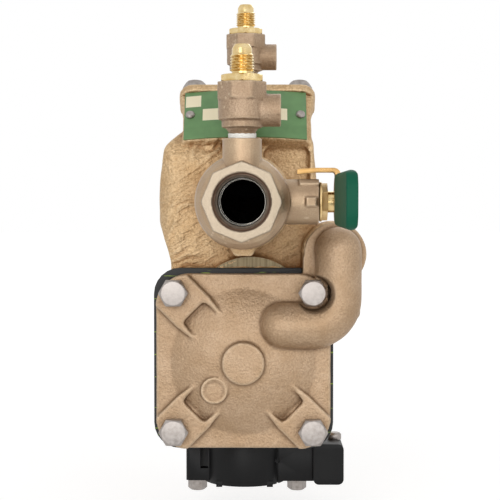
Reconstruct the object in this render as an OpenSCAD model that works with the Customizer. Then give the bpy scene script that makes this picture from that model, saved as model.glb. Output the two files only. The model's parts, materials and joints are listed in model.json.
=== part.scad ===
// Reduced pressure zone backflow preventer for a 3/4 inch line.
// Origin: centre of the inlet mouth. +Y runs with the flow, +Z is up, +X is the lever side.

/* [Line] */
// Length from the inlet mouth to the outlet mouth
line_l = 365; // [361:1:370]
// Radius of the pipe thread in each mouth
port_r = 13.2; // [12.8:0.1:13.4]
// Length of the pipe thread in each mouth
port_l = 13; // [11:0.5:14]
// Radius of the water way
way_r = 11; // [10.6:0.1:11.1]

/* [Shut-off valves] */
// Corner radius of the octagon at the mouth
octagon_r = 18.3; // [17.6:0.05:18.4]
// Radius of the valve barrel
barrel_r = 22; // [21.5:0.1:22.5]
// Distance from the mouth to the ball
ball_y = 35; // [34.8:0.1:35.2]
// Radius of the ball
ball_r = 15.5; // [15.3:0.1:15.6]
// Radius of the stem boss
bonnet_r = 10.65; // [10.2:0.05:11]
// How far the stem boss stands out from the line
bonnet_x = 35.7; // [35.4:0.1:36]
// Radius of the stem in the boss
stem_r = 5; // [4.8:0.1:5.2]
// Reach of the lever from the stem
lever_l = 100; // [90:1:104]
// Width of the lever plate
lever_w = 22; // [20:0.5:23]

/* [Test cocks] */
// Radius of the threaded shank
cock_thread_r = 5.9; // [5.8:0.05:6]
// Radius of the cast body
cock_r = 10.9; // [10.4:0.1:11]
// Radius of the stem boss on the side
cock_boss_r = 7.45; // [7:0.05:7.6]
// Reach of the stem boss from the cock's axis
cock_boss_l = 17.7; // [17.2:0.1:18]
// Radius of the flare thread
flare_r = 5.55; // [5.4:0.05:5.6]

/* [Checks] */
// Lean of the check valves towards the outlet
check_tilt = 37; // [36.5:0.1:37.5]
// Place where the first check's axis meets the line
check_y = 107; // [106.6:0.1:107.4]
// Distance between the checks
check_pitch = 90; // [89.5:0.1:90.5]
// Sideways offset of the check towers
check_x = 1.5; // [1.2:0.1:1.8]
// Half width of a check tower
tower_half = 33; // [32.8:0.1:33.2]
// Bolt spacing of a check cover, from its centre
cover_bolt = 27.5; // [27.3:0.1:27.6]
// Thickness of a check cover
cover_t = 4.6; // [4.4:0.1:5]
// Lift of a check disc
check_lift = 9; // [7:0.5:9]

/* [Relief valve] */
// Height of the relief valve's axis
relief_z = -79; // [-79.4:0.1:-78.8]
// Half width of the relief cover
relief_half = 43.2; // [43:0.1:43.4]
// Bolt spacing of the relief cover, from its centre
relief_bolt = 34.25; // [34:0.05:34.4]
// Rim radius of the cover's dome
dome_r = 36; // [35.5:0.1:36.3]
// Height of the cover's dome
dome_h = 9; // [8.6:0.1:9.3]
// Radius of the sensing elbow
elbow_r = 11.4; // [11.2:0.05:11.6]
// Travel of the relief disc
relief_travel = 5; // [4:0.1:5]

/* [Flood sensor] */
// Place of the discharge along the line
drain_y = 132; // [131:0.5:133]
// Radius of the discharge
drain_r = 16; // [15:0.1:16.4]
// Height of the flood sensor's ring
sensor_h = 22; // [20:0.5:23]

/* [Nameplate] */
// Width of the nameplate
plate_w = 63; // [60:0.5:64]
// Height of the nameplate
plate_h = 31.2; // [29:0.2:31.4]
// Thickness of the nameplate
plate_t = 0.8; // [0.6:0.1:1]

/* [Hidden] */
$fn = 64;
play = 0.05;
loose = 0.3;

bronze = "#c2a27c";
cover_bronze = "#b79e87";
valve_bronze = "#bda587";
brass = "#b5843f";
zinc = "#cfcac6";
yellow_zinc = "#cba47c";
chrome = "#dadcde";
ptfe = "#efeee8";
rubber = "#262626";
vinyl = "#1f4f36";
plate_green = "#8f9875";
black_plastic = "#2e2e2e";
spring_steel = "#a9abad";
acetal = "#d9d4c4";

// Shut-off valve, measured from its mouth
barrel_end = 55;
seat_y = 21;
cavity_r = ball_r + 1.1;
screw_r = 18;
tail_end = 62;
tail_screw_l = 12;
tail_screw_r = 13.05;
ball_bore_r = 10.7;
cock1_y = 18;
cock1_z = 28.9;
packing_x = 28;
gland_x = 32.5;
nut_x = 37.2;
nut_t = 2.6;
nut_r = 8.85;
lever_x = 43.4;
lever_t = 2.5;
lever_z = 1;
lever_hub_r = 12.5;
tab_x = 25.5;
tab_half = 5;
tab_z = 13.7;
tab_t = 2.2;
tab_drop = 1;
lug_r = 12;
stop_r = 14.4;
stop_block = [5.2, 3, 4.4];
grip_t = 4.9;
grip_end = 19.5;
grip_w = 24.3;
grip_over = 2;
lever_nut_t = 4.2;
lever_nut_r = 7.2;
stem_neck_r = 4.05;

// Test cocks, measured up from the face of the boss that carries them
cock_ball_z = 12.9;
cock_ball_r = 5.6;
cock_bore_r = 2.4;
cock_cavity_r = 6.1;
cock_stem_r = 2.5;
cock_top_z = 25.7;
cock_shank = 9;
band_r = 12;
hex_top_z = 29;
flare_top_z = 42.9;
cock2_y = 77;
cock2_z = 32;
cock3_y = line_l / 2;
cock3_z = 70;
cock_boss_radius = 9;
// Each cock: place along the line, height of its boss, turn of its stem about Z
cocks = [
    [cock1_y, cock1_z, 0],
    [cock2_y, cock2_z, -90],
    [cock3_y, cock3_z, 0],
    [line_l - cock2_y, cock2_z, 0]
];

// Check towers, measured along the leaning axis from the line
tower_base = 14;
tower_top = 45.6;
chamber_r = 21.5;
chamber_t = 10;
under_t = -14;
under_r = 12;
check_seat_r = 17;
check_seat_t = 2;
check_lip_t = 12;
disc_r = 15.4;
disc_t = 3;
poppet_r = 17.6;
poppet_t = 5;
guide_r = 4;
guide_top = 51;
guide_depth = 60.5;
check_wire_r = 0.8;
check_coil_r = 9;
ear_r = 8.2;
bolt_r = 3.9;
bolt_hole_r = 4.2;
tapped_r = 3.95;
bolt_head_r = 7.35;
check_head_r = 6.8;
bolt_head_t = 5.4;
bolt_depth = 16;
face_bend_r = 220;
oring_mid_r = 25.2;
oring_r = 1.1;

// Body
boss_y = 62;
boss_r = 24;
neck_r = 22;
block_front = 89;
block_rear = 236;
zone_y = 131;
zone_r = 10;

// Relief valve, measured along the line
cover_front = 66;
cover_back = 75;
diaphragm_t = 3.5;
flange_front = cover_back + diaphragm_t;
flange_back = 88;
flange_half = 45;
spring_bore_r = 30;
spring_end = 112;
drain_wall = 118;
housing_r = 38;
housing_end = 152;
dome_sphere_r = (dome_r * dome_r + dome_h * dome_h) / (2 * dome_h);
dome_centre = cover_front - dome_h + dome_sphere_r;
dome_wall = 5;
chamber_front_r = 31;
pad_top = 61.5;
pad_half = 11;
rib_w = 3.6;
pad_edge = 13.5;
rib_end = 24;
elbow_y = 63;
elbow_run_z = -61;
elbow_bend = 13.5;
elbow_corner = [33.3, -47.6];
elbow_start_x = 19;
elbow_top_z = -24;
elbow_bore_r = 5;
ear_centre = [45.5, -26];
ear_round = 15.5;
ear_left = 29.5;
ear_right = 58;
relief_seat_r = 15;
relief_lip = 110;
relief_stem_r = 3.5;
relief_disc_r = 13;
relief_coil_r = 18.2;
relief_wire_r = 1.2;

// Flood sensor
drain_face = -128;
sensor_bottom = drain_face - sensor_h - 1.5;
sensor_bolts = [-25.8, 28.3];
gasket_t = 1.5;
ear_face = sensor_bottom + 1.5;
terminal_z = sensor_bottom + 21.8;
terminal_x = 49;
plate_x = -0.85;

function unit(v) = v / norm(v);

// Outline whose corners are rounded with arcs of the given radius, or radius for each corner
function soft_outline(pts, r, n = 6) = [
    for (i = [0:len(pts) - 1])
        let (
            p = pts[i],
            a = unit(pts[(i + len(pts) - 1) % len(pts)] - p),
            b = unit(pts[(i + 1) % len(pts)] - p),
            half = acos(a * b) / 2,
            ri = is_list(r) ? r[i] : r,
            c = p + unit(a + b) * ri / sin(half),
            s = p + a * ri / tan(half) - c,
            way = cross(a, b) < 0 ? 1 : -1
        )
        for (k = [0:n])
            let (angle = atan2(s[1], s[0]) + way * (180 - 2 * half) * k / n)
            c + ri * [cos(angle), sin(angle)]
];

function rectangle(x0, y0, x1, y1) = [[x0, y0], [x1, y0], [x1, y1], [x0, y1]];

// Ring of points of a round wire at one place along a coil
function wire_ring(coil_r, wire_r, turn, height, sides) = [
    for (k = [0:sides - 1])
        let (a = 360 * k / sides, out = coil_r + wire_r * cos(a))
        [out * cos(turn), out * sin(turn), height + wire_r * sin(a)]
];

// Drawn in X and Z, standing between two places along Y
module slab_y(y0, y1) {
    translate([0, y1, 0])
        rotate([90, 0, 0])
            linear_extrude(y1 - y0)
                children();
}

// Drawn in Y and Z, standing between two places along X
module slab_x(x0, x1) {
    translate([x0, 0, 0])
        rotate([90, 0, 90])
            linear_extrude(x1 - x0)
                children();
}

module rod_x(r, x0, x1) {
    translate([x0, 0, 0])
        rotate([0, 90, 0])
            cylinder(r = r, h = x1 - x0);
}

module rod_y(r, y0, y1) {
    translate([0, y0, 0])
        rotate([-90, 0, 0])
            cylinder(r = r, h = y1 - y0);
}

module rod_z(r, z0, z1) {
    translate([0, 0, z0])
        cylinder(r = r, h = z1 - z0);
}

// Profile of radius and place along Y, turned about the Y axis
module turned_y(profile) {
    rotate([-90, 0, 0])
        rotate_extrude()
            polygon(profile);
}

// Profile of radius and height, turned about the Z axis
module turned_z(profile) {
    rotate_extrude()
        polygon(profile);
}

// Round rod from one point to another
module rod_between(r, from, to) {
    run = to - from;
    translate(from)
        rotate([0, acos(run[2] / norm(run)), atan2(run[1], run[0])])
            cylinder(r = r, h = norm(run));
}

// Compression spring along Z, one unbroken wire
module coil_spring(coil_r, wire_r, z0, z1, turns) {
    sides = 6;
    steps = 12 * turns;
    low = z0 + wire_r + play;
    rise = (z1 - z0 - 2 * wire_r - 2 * play) / steps;
    points = [
        for (i = [0:steps])
            each wire_ring(coil_r, wire_r, 360 * turns * i / steps, low + rise * i, sides)
    ];
    walls = [
        for (i = [0:steps - 1])
            for (k = [0:sides - 1])
                let (a = i * sides + k, b = i * sides + (k + 1) % sides)
                each [[a, a + sides, b], [b, a + sides, b + sides]]
    ];
    last = steps * sides;
    ends = [
        for (k = [1:sides - 2])
            each [[0, k, k + 1], [last, last + k + 1, last + k]]
    ];
    polyhedron(points = points, faces = concat(walls, ends), convexity = 12);
}

// Hexagon-headed bolt along Z, with the underside of its head at Z = 0 and its shank below
module hex_bolt(shank_r, shank_l, head_r, head_t) {
    intersection() {
        cylinder(r = head_r, h = head_t, $fn = 6);
        turned_z([
            [0, 0], [head_r, 0], [head_r, head_t - 1.2], [head_r - 1.6, head_t], [0, head_t]
        ]);
    }
    rod_z(shank_r, -shank_l, 0.2);
}

// Frame of a check valve: Z along its leaning axis, Y down the slope of its cover
module at_check(number) {
    translate([check_x, check_y + number * check_pitch, 0])
        rotate([-check_tilt, 0, 0])
            children();
}

module at_relief() {
    translate([0, 0, relief_z])
        children();
}

// Frame of a shut-off valve: 0 is at the inlet, 1 is turned end for end at the outlet
module at_valve(number) {
    if (number == 0)
        children();
    else
        translate([0, line_l, 0])
            rotate([180, 0, 0])
                children();
}

module at_cock(number) {
    translate([0, cocks[number][0], cocks[number][1]])
        rotate([0, 0, cocks[number][2]])
            children();
}

module at_cover_bolts() {
    for (x = [-cover_bolt, cover_bolt])
        for (y = [-cover_bolt, cover_bolt])
            translate([x, y, 0])
                children();
}

// Tapped hole for a test cock, with the drilling below it
module cock_hole(number, depth) {
    at_cock(number) {
        rod_z(cock_thread_r + play, -cock_shank - 1, 1);
        rod_z(3, -depth, 0);
    }
}

// Body casting

function face_sag(x) = face_bend_r - sqrt(face_bend_r * face_bend_r - x * x);

// Plan of a check tower: bowed front face, rounded rear corners
module tower_plan() {
    bow = face_sag(tower_half - 2);
    front = [
        for (x = [-tower_half + 2:(2 * tower_half - 4) / 12:tower_half - 1.9])
            [x, -tower_half - bow + face_sag(x)]
    ];
    rear = soft_outline(
        rectangle(-tower_half, -tower_half + 1.5, tower_half, tower_half), [0.5, 0.5, 12, 12]
    );
    polygon(front);
    polygon(rear);
    translate([-tower_half + 2, -tower_half])
        square([2 * tower_half - 4, 3]);
}

module tower(number) {
    at_check(number) {
        translate([0, 0, tower_base])
            linear_extrude(tower_top - tower_base)
                tower_plan();
        intersection() {
            at_cover_bolts()
                translate([0, 0, tower_top - 21])
                    cylinder(r1 = ear_r - 4, r2 = ear_r, h = 21);
            translate([-50, -tower_half + 1, 0])
                cube([100, 90, tower_top]);
        }
    }
}

// Rounded middle of the casting, cut by its front, plan and side outlines
module block() {
    front = [
        [-37.4, -46], [35, -46], [37.5, -18], [37.5, 8], [35, 36.5],
        [-32, 36.5], [-41, 28], [-43.6, 8], [-43.6, -11], [-39, -25], [-37.4, -31]
    ];
    plan = [
        [-44.4, block_front], [38, block_front], [38, 140], [31, 168],
        [31, block_rear], [-29, block_rear], [-29, 168], [-44.4, 140]
    ];
    side = [
        [block_front, -46], [150, -46], [166, -25], [block_rear, -25],
        [block_rear, 22], [146, 22], [130, 36.5], [block_front, 36.5]
    ];
    intersection() {
        slab_y(block_front - 1, block_rear + 1)
            polygon(soft_outline(front, [6, 6, 20, 20, 8, 5, 8, 20, 14, 10, 10]));
        translate([0, 0, -50])
            linear_extrude(90)
                polygon(soft_outline(plan, [11, 10, 20, 20, 14, 14, 20, 20]));
        slab_x(-50, 50)
            polygon(soft_outline(side, [6, 14, 14, 12, 12, 8, 8, 18]));
    }
}

// Hollow beside the neck on the lever side, below the nameplate's ledge
module front_pocket() {
    slab_y(block_front - 3, block_front + 5.5)
        polygon(soft_outline(rectangle(10, 2, 33.5, 29), 5));
}

// Room for a check cover and its bolts above the castings around it
module cover_room(number) {
    at_check(number)
        translate([-45, -39, tower_top])
            cube([90, 78, 26]);
}

// Neck with the boss that the valve screws into
module neck(reach, root_r) {
    turned_y([
        [0, boss_y], [boss_r - 1.2, boss_y], [boss_r, boss_y + 1.2], [boss_r, 71],
        [neck_r, 76], [neck_r, 90], [root_r, 102], [root_r, reach], [0, reach]
    ]);
    slab_y(boss_y + 0.6, 72)
        polygon(soft_outline([[-8, -20], [-4.5, -26.7], [4.5, -26.7], [8, -20]], 1));
}

module far_neck() {
    translate([0, line_l, 0])
        mirror([0, 1, 0])
            neck(line_l - block_rear + 12, neck_r - 4);
}

// Ear that meets the end of the sensing elbow
module ear_plan() {
    translate(ear_centre)
        circle(r = ear_round);
    polygon(soft_outline(rectangle(ear_left, relief_z + 20, ear_right, ear_centre[1]), [4, 4, 2, 2]));
}

module relief_housing() {
    at_relief() {
        slab_y(flange_front, flange_back)
            polygon(soft_outline(
                rectangle(-flange_half, -flange_half, flange_half, flange_half), 14
            ));
        turned_y([
            [0, flange_front + 2], [housing_r, flange_front + 2], [housing_r, 108], [33, 120],
            [30, housing_end - 6], [24, housing_end], [0, housing_end]
        ]);
    }
    translate([3.5, 0, -57.7])
        rod_y(30, flange_front + 1, 110);
    hull() {
        translate([-28, 92, -34])
            cube([56, 56, 1]);
        translate([-24, 92, relief_z])
            cube([48, 52, 1]);
    }
    translate([0, drain_y, 0])
        rod_z(22, drain_face, relief_z);
    translate([0, drain_y, 0])
        translate([0, 0, drain_face])
            linear_extrude(9)
                drain_plan(0);
}

// Outline of the discharge flange, with an ear at each sensor bolt
module drain_plan(inset) {
    circle(r = 23 - inset);
    for (x = sensor_bolts)
        translate([x, 0])
            circle(r = 8 - inset);
    polygon(rectangle(sensor_bolts[0], -6, sensor_bolts[1], 6));
}

module body_walls() {
    difference() {
        union() {
            block();
            far_neck();
        }
        front_pocket();
        for (number = [0, 1])
            cover_room(number);
    }
    neck(108, neck_r);
    for (number = [0, 1])
        tower(number);
    for (number = [1, 2, 3])
        translate([0, cocks[number][0], 0])
            rod_z(cock_boss_radius, 0, cocks[number][1]);
    relief_housing();
    slab_y(cover_back, flange_back)
        ear_plan();
    translate([ear_centre[0], 0, ear_centre[1]])
        rod_y(16, cover_back, 106);
}

// Water ways from the inlet, through both checks, to the outlet
module body_ways() {
    rod_y(tail_screw_r + play, boss_y - 1, boss_y + tail_screw_l + 1);
    rod_y(way_r, boss_y, check_y + 2);
    rod_y(zone_r, zone_y, check_y + check_pitch + 2);
    translate([0, 0, -4])
        rod_y(13, zone_y + 7, zone_y + 49);
    rod_y(way_r, zone_y + check_pitch, line_l - boss_y);
    rod_y(tail_screw_r + play, line_l - boss_y - tail_screw_l - 1, line_l - boss_y + 1);
    for (number = [0, 1])
        at_check(number) {
            rod_z(under_r, under_t, check_seat_t + 1);
            rod_z(check_seat_r + play, check_seat_t, chamber_t + 1);
            rod_z(chamber_r, chamber_t, tower_top + 1);
            translate([0, 0, tower_top])
                at_cover_bolts()
                    rod_z(tapped_r, -bolt_depth, 1);
        }
    for (number = [1, 3])
        cock_hole(number, cocks[number][1]);
    cock_hole(2, cocks[2][1]);
}

// Relief chambers, discharge, and the drillings that feed them
module relief_ways() {
    at_relief() {
        rod_y(spring_bore_r, flange_front - 1, spring_end);
        rod_y(relief_seat_r + play, spring_end - 1, drain_wall + 1);
        rod_y(19, drain_wall, housing_end - 8);
        for (x = [-relief_bolt, relief_bolt])
            for (z = [-relief_bolt, relief_bolt])
                translate([x, 0, z])
                    rod_y(tapped_r, cover_back - 1, flange_back + 8);
    }
    translate([0, drain_y, 0]) {
        rod_z(drain_r, drain_face - 1, relief_z);
        for (x = sensor_bolts)
            translate([x, 0, 0])
                rod_z(2.95, drain_face - 1, drain_face + 8);
    }
    rod_between(8, [0, 140, -2], [0, 104, relief_z + 20]);
    slab_y(114, 144)
        polygon(soft_outline(rectangle(-28, -40, 26, -15), 6));
    translate([ear_centre[0], 0, ear_centre[1]]) {
        rod_y(4.5, cover_back - 1, 100);
        difference() {
            rod_y(9.2, cover_back - 1, cover_back + 2);
            rod_y(6.8, cover_back - 2, cover_back + 3);
        }
    }
    rod_between(3.5, [ear_centre[0], 99, ear_centre[1]], [4, 99, -2]);
}

module main_body() {
    color(bronze)
        difference() {
            body_walls();
            body_ways();
            relief_ways();
        }
}

// Check valves

module check_cover(number) {
    side = cover_bolt + ear_r;
    color(bronze)
        at_check(number)
            difference() {
                union() {
                    translate([0, 0, tower_top])
                        linear_extrude(cover_t)
                            difference() {
                                polygon(soft_outline(rectangle(-side, -side, side, side), ear_r));
                                for (turn = [0, 90, 180])
                                    rotate(turn)
                                        translate([side + 37, 0])
                                            circle(r = 41);
                            }
                    turned_z([
                        [0, tower_top + 3], [21, tower_top + 3], [21, tower_top + cover_t],
                        [17, tower_top + cover_t + 9], [12, tower_top + cover_t + 14],
                        [0, tower_top + cover_t + 14]
                    ]);
                }
                rod_z(guide_r + play, tower_top - 1, guide_depth);
                translate([0, 0, tower_top])
                    difference() {
                        rod_z(oring_mid_r + 1.3, -1, 2 * oring_r);
                        rod_z(oring_mid_r - 1.3, -2, 2 * oring_r + 1);
                    }
                at_cover_bolts()
                    rod_z(bolt_hole_r, tower_top - 1, tower_top + cover_t + 1);
            }
}

module first_check_cover() {
    check_cover(0);
}

module second_check_cover() {
    check_cover(1);
}

module check_cover_bolts() {
    color(zinc)
        for (number = [0, 1])
            at_check(number)
                translate([0, 0, tower_top + cover_t])
                    at_cover_bolts()
                        hex_bolt(bolt_r, cover_t + bolt_depth - 2, check_head_r, bolt_head_t);
}

module check_cover_orings() {
    color(rubber)
        for (number = [0, 1])
            at_check(number)
                translate([0, 0, tower_top + oring_r])
                    rotate_extrude()
                        translate([oring_mid_r, 0])
                            circle(r = oring_r, $fn = 24);
}

// Seat ring with a raised lip that the disc closes on
module check_seat(number) {
    color(valve_bronze)
        at_check(number)
            turned_z([
                [way_r + 0.4, check_seat_t], [check_seat_r, check_seat_t],
                [check_seat_r, chamber_t], [14.6, chamber_t + 0.6], [13.4, check_lip_t],
                [12.4, check_lip_t], [way_r + 0.4, chamber_t - 1]
            ]);
}

module first_check_seat() {
    check_seat(0);
}

module second_check_seat() {
    check_seat(1);
}

module check_disc(number) {
    color(rubber)
        at_check(number)
            rod_z(disc_r, check_lip_t, check_lip_t + disc_t);
}

module first_check_disc() {
    check_disc(0);
}

module second_check_disc() {
    check_disc(1);
}

// Disc holder with a rim round the disc and a stem that slides in the cover
module check_poppet(number) {
    base = check_lip_t + disc_t;
    color(acetal)
        at_check(number)
            turned_z([
                [0, base], [disc_r + 0.05, base], [disc_r + 0.05, base - 1.6], [poppet_r, base - 1],
                [poppet_r, base + 3], [poppet_r - 2, base + poppet_t], [guide_r + 3, base + poppet_t],
                [guide_r, base + poppet_t + 3], [guide_r, guide_top - 1], [guide_r - 1, guide_top],
                [0, guide_top]
            ]);
}

module first_check_poppet() {
    check_poppet(0);
}

module second_check_poppet() {
    check_poppet(1);
}

module check_spring(number) {
    color(spring_steel)
        at_check(number)
            coil_spring(check_coil_r, check_wire_r, check_lip_t + disc_t + poppet_t, tower_top, 5);
}

module first_check_spring() {
    check_spring(0);
}

module second_check_spring() {
    check_spring(1);
}

// Relief valve

module cover_outline() {
    polygon(soft_outline(
        rectangle(-relief_half, -relief_half, relief_half, relief_half), 16, 8
    ));
}

// Raised bolt seat in a corner of the cover, with two ribs that run into the dome
module corner_pad() {
    slab_y(pad_top, cover_front + 1)
        polygon(soft_outline([
            [-14, -pad_half], [pad_edge, -pad_half], [rib_end, 1.4 - pad_half], [rib_end, 2.8 - pad_half],
            [pad_edge, rib_w - pad_half], [pad_edge, pad_half - rib_w], [rib_end, pad_half - 2.8],
            [rib_end, pad_half - 1.4], [pad_edge, pad_half], [-14, pad_half]
        ], [1, 6, 0.5, 0.5, 2, 2, 0.5, 0.5, 6, 1], 4));
}

// Route of the sensing elbow as a round solid of the given radius
module elbow_run(r, start_x, back_y) {
    bend_x = elbow_corner[0] + elbow_bend;
    translate([0, elbow_y, elbow_run_z])
        rod_x(r, start_x, elbow_corner[0]);
    translate([elbow_corner[0], elbow_y, elbow_corner[1]])
        rotate([90, 0, 0])
            rotate([0, 0, -90])
                rotate_extrude(angle = 90)
                    translate([elbow_bend, 0])
                        circle(r = r);
    translate([bend_x, elbow_y, 0])
        rod_z(r, elbow_corner[1], elbow_top_z);
    translate([bend_x, elbow_y, elbow_top_z])
        sphere(r = r);
    translate([bend_x, 0, elbow_top_z])
        rod_y(r, elbow_y, back_y);
}

module cover_walls() {
    at_relief() {
        slab_y(cover_front, cover_back)
            cover_outline();
        intersection() {
            translate([0, dome_centre, 0])
                sphere(r = dome_sphere_r, $fn = 96);
            rod_y(dome_r, cover_front - dome_h - 1, cover_back - 2);
        }
        rod_y(10.5, cover_front - dome_h - 3, cover_front - dome_h + 4);
        translate([-14.3, 0, -13.6])
            difference() {
                rod_y(6.6, 57.4, 63);
                rod_y(5.2, 57, 58.2);
            }
        intersection() {
            for (turn = [45, -45, 225])
                rotate([0, turn, 0])
                    translate([-relief_bolt * sqrt(2), 0, 0])
                        corner_pad();
            slab_y(cover_front - 20, cover_back)
                cover_outline();
        }
    }
    slab_y(cover_back - 7, cover_back)
        ear_plan();
    elbow_run(elbow_r, elbow_start_x, cover_back - 2);
    translate([elbow_start_x, elbow_y, elbow_run_z])
        sphere(r = elbow_r);
}

// Cast cover with its dome, bolt corners and the elbow that brings inlet pressure to the diaphragm
module relief_cover() {
    color(cover_bronze)
        difference() {
            cover_walls();
            at_relief() {
                intersection() {
                    translate([0, dome_centre, 0])
                        sphere(r = dome_sphere_r - dome_wall, $fn = 96);
                    rod_y(chamber_front_r, cover_front - dome_h, cover_back + 1);
                }
                for (x = [-relief_bolt, relief_bolt])
                    for (z = [-relief_bolt, relief_bolt])
                        translate([x, 0, z])
                            rod_y(bolt_hole_r, 50, cover_back + 1);
                translate([relief_bolt, 0, relief_bolt])
                    turned_y([[0, 45], [12, 45], [8.6, 58.5], [8.6, pad_top], [0, pad_top]]);
            }
            elbow_run(elbow_bore_r, elbow_start_x - 7, cover_back + 1);
            slab_y(cover_back, cover_back + 20)
                translate([-60, -130])
                    square(160);
        }
}

module relief_cover_bolts() {
    color(zinc)
        at_relief()
            for (x = [-relief_bolt, relief_bolt])
                for (z = [-relief_bolt, relief_bolt])
                    translate([x, pad_top, z])
                        rotate([90, 0, 0])
                            hex_bolt(bolt_r, 32, bolt_head_r, bolt_head_t);
}

// Rubber sheet between the cover and the body, held at its rim
module relief_diaphragm() {
    color(rubber)
        difference() {
            at_relief()
                slab_y(cover_back, flange_front)
                    difference() {
                        polygon(soft_outline(
                            rectangle(-flange_half, -flange_half, flange_half, flange_half + 0.8), 13
                        ));
                        circle(r = relief_stem_r + 0.1);
                        for (x = [-relief_bolt, relief_bolt])
                            for (z = [-relief_bolt, relief_bolt])
                                translate([x, z])
                                    circle(r = bolt_hole_r);
                    }
            slab_y(cover_back - 1, flange_front + 1)
                translate([ear_left - loose, relief_z + 20 - loose])
                    square([40, 80]);
        }
}

// Seat ring with a spider that guides the end of the stem
module relief_seat() {
    color(valve_bronze)
        at_relief()
            difference() {
                union() {
                    turned_y([
                        [9.6, relief_lip + 3], [10.4, relief_lip], [11.4, relief_lip],
                        [12.4, spring_end], [relief_seat_r, spring_end],
                        [relief_seat_r, drain_wall], [9.6, drain_wall]
                    ]);
                    rod_y(5.6, drain_wall - 4, drain_wall);
                    for (turn = [90, 210, 330])
                        rotate([0, turn, 0])
                            translate([4, drain_wall - 4, -1.2])
                                cube([7, 4, 2.4]);
                }
                rod_y(relief_stem_r + play, relief_lip - 1, drain_wall + 1);
            }
}

module relief_spring() {
    color(spring_steel)
        at_relief()
            rotate([-90, 0, 0])
                coil_spring(relief_coil_r, relief_wire_r, flange_front + 3, spring_end, 5);
}

// Stem with the holder that carries the disc and the tail guided in the seat
module relief_stem() {
    disc_back = relief_lip - relief_travel - 3;
    color(brass)
        at_relief()
            turned_y([
                [0, 66], [relief_stem_r - 0.6, 66], [relief_stem_r, 66.6],
                [relief_stem_r, disc_back - 5], [12, disc_back - 5], [12, disc_back],
                [relief_stem_r, disc_back], [relief_stem_r, 122], [2.5, 123], [0, 123]
            ]);
}

// Nut that clamps the plates and the diaphragm on the stem
module relief_stem_nut() {
    color(zinc)
        at_relief()
            difference() {
                translate([0, 67, 0])
                    rotate([-90, 0, 0])
                        cylinder(r = 6.5, h = 4.5, $fn = 6);
                rod_y(relief_stem_r + play, 66, 72);
            }
}

module relief_pressure_plate() {
    color(brass)
        at_relief()
            turned_y([
                [relief_stem_r + play, 71.5], [20, 71.5], [22, 73], [22, cover_back],
                [relief_stem_r + play, cover_back]
            ]);
}

// Plate behind the diaphragm, with the sleeve that carries the disc holder
module relief_piston() {
    holder = relief_lip - relief_travel - 8;
    color(acetal)
        at_relief()
            turned_y([
                [relief_stem_r + play, flange_front], [23, flange_front], [23, flange_front + 3],
                [9, flange_front + 3], [7, flange_front + 5], [7, holder],
                [relief_stem_r + play, holder]
            ]);
}

module relief_disc() {
    face = relief_lip - relief_travel;
    color(rubber)
        at_relief()
            turned_y([
                [relief_stem_r + play, face - 3], [relief_disc_r, face - 3],
                [relief_disc_r, face], [relief_stem_r + play, face]
            ]);
}

module sensing_oring() {
    color(rubber)
        translate([ear_centre[0], cover_back + 1, ear_centre[1]])
            rotate([-90, 0, 0])
                rotate_extrude()
                    translate([8, 0])
                        circle(r = 1, $fn = 24);
}

// Nameplate

function face_w(x) = face_sag(x) - face_sag(tower_half - 2) - tower_half;

// Strip that follows the bowed front of the first tower
module plate_strip(out0, out1) {
    steps = 16;
    across = [
        for (i = [0:steps])
            plate_x + plate_w * (i / steps - 0.5)
    ];
    inner = [
        for (x = across)
            [x, face_w(x) - out0]
    ];
    outer = [
        for (i = [steps:-1:0])
            [across[i], face_w(across[i]) - out1]
    ];
    polygon(concat(inner, outer));
}

module nameplate() {
    color(plate_green)
        at_check(0)
            translate([0, 0, tower_top - 0.2 - plate_h])
                linear_extrude(plate_h)
                    plate_strip(0.1, 0.1 + plate_t);
}

module nameplate_rivets() {
    rivet_x = plate_w / 2 - 3.1;
    color(zinc)
        at_check(0)
            for (x = [plate_x - rivet_x, plate_x + rivet_x])
                translate([x, face_w(x) - plate_t - 0.4, tower_top - 0.2 - plate_h / 2])
                    rotate([90, 0, 0])
                        turned_z([[0, 0], [2.4, 0], [2.3, 0.7], [1.6, 1.5], [0, 1.8]]);
}

// Moulded ring round the discharge with a slotted ear, a side panel and a terminal block
module flood_sensor_housing() {
    top = drain_face - gasket_t;
    color(black_plastic)
        translate([0, drain_y, 0])
            difference() {
                union() {
                    rod_z(22, sensor_bottom + 0.3, top);
                    translate([0, 0, ear_face])
                        linear_extrude(top - ear_face) {
                            polygon(soft_outline(rectangle(-31.5, -11, -12, 11), 2));
                            polygon(soft_outline(rectangle(12, -12.5, 38, 12.5), 2));
                        }
                    slab_y(-15, 20)
                        polygon(soft_outline(rectangle(36.8, sensor_bottom, 53, terminal_z), 3));
                    for (x = [-13.5, 13.5])
                        translate([x - 1.6, -18.5, sensor_bottom - 0.5])
                            cube([3.2, 4, 3]);
                }
                rod_z(drain_r + 0.5, sensor_bottom - 1, top + 1);
                for (x = sensor_bolts)
                    translate([x, 0, 0]) {
                        rod_z(3.2, sensor_bottom - 1, top + 1);
                        rod_z(6.8, sensor_bottom - 1, ear_face);
                    }
                translate([-23.8, -30, ear_face + 6.5])
                    cube([4.2, 25, 20]);
                translate([17.2, -30, sensor_bottom - 1])
                    cube([0.9, 19, 40]);
                translate([17.6, 0, ear_face + 11])
                    rod_y(1.5, -30, -11);
                translate([terminal_x, 2, 0])
                    rod_z(2.5, terminal_z - 6, terminal_z + 1);
            }
}

module flood_sensor_gasket() {
    color(rubber)
        translate([0, drain_y, drain_face - gasket_t])
            linear_extrude(gasket_t)
                difference() {
                    drain_plan(1);
                    circle(r = drain_r + 0.2);
                    for (x = sensor_bolts)
                        translate([x, 0])
                            circle(r = 3.2);
                }
}

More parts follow.
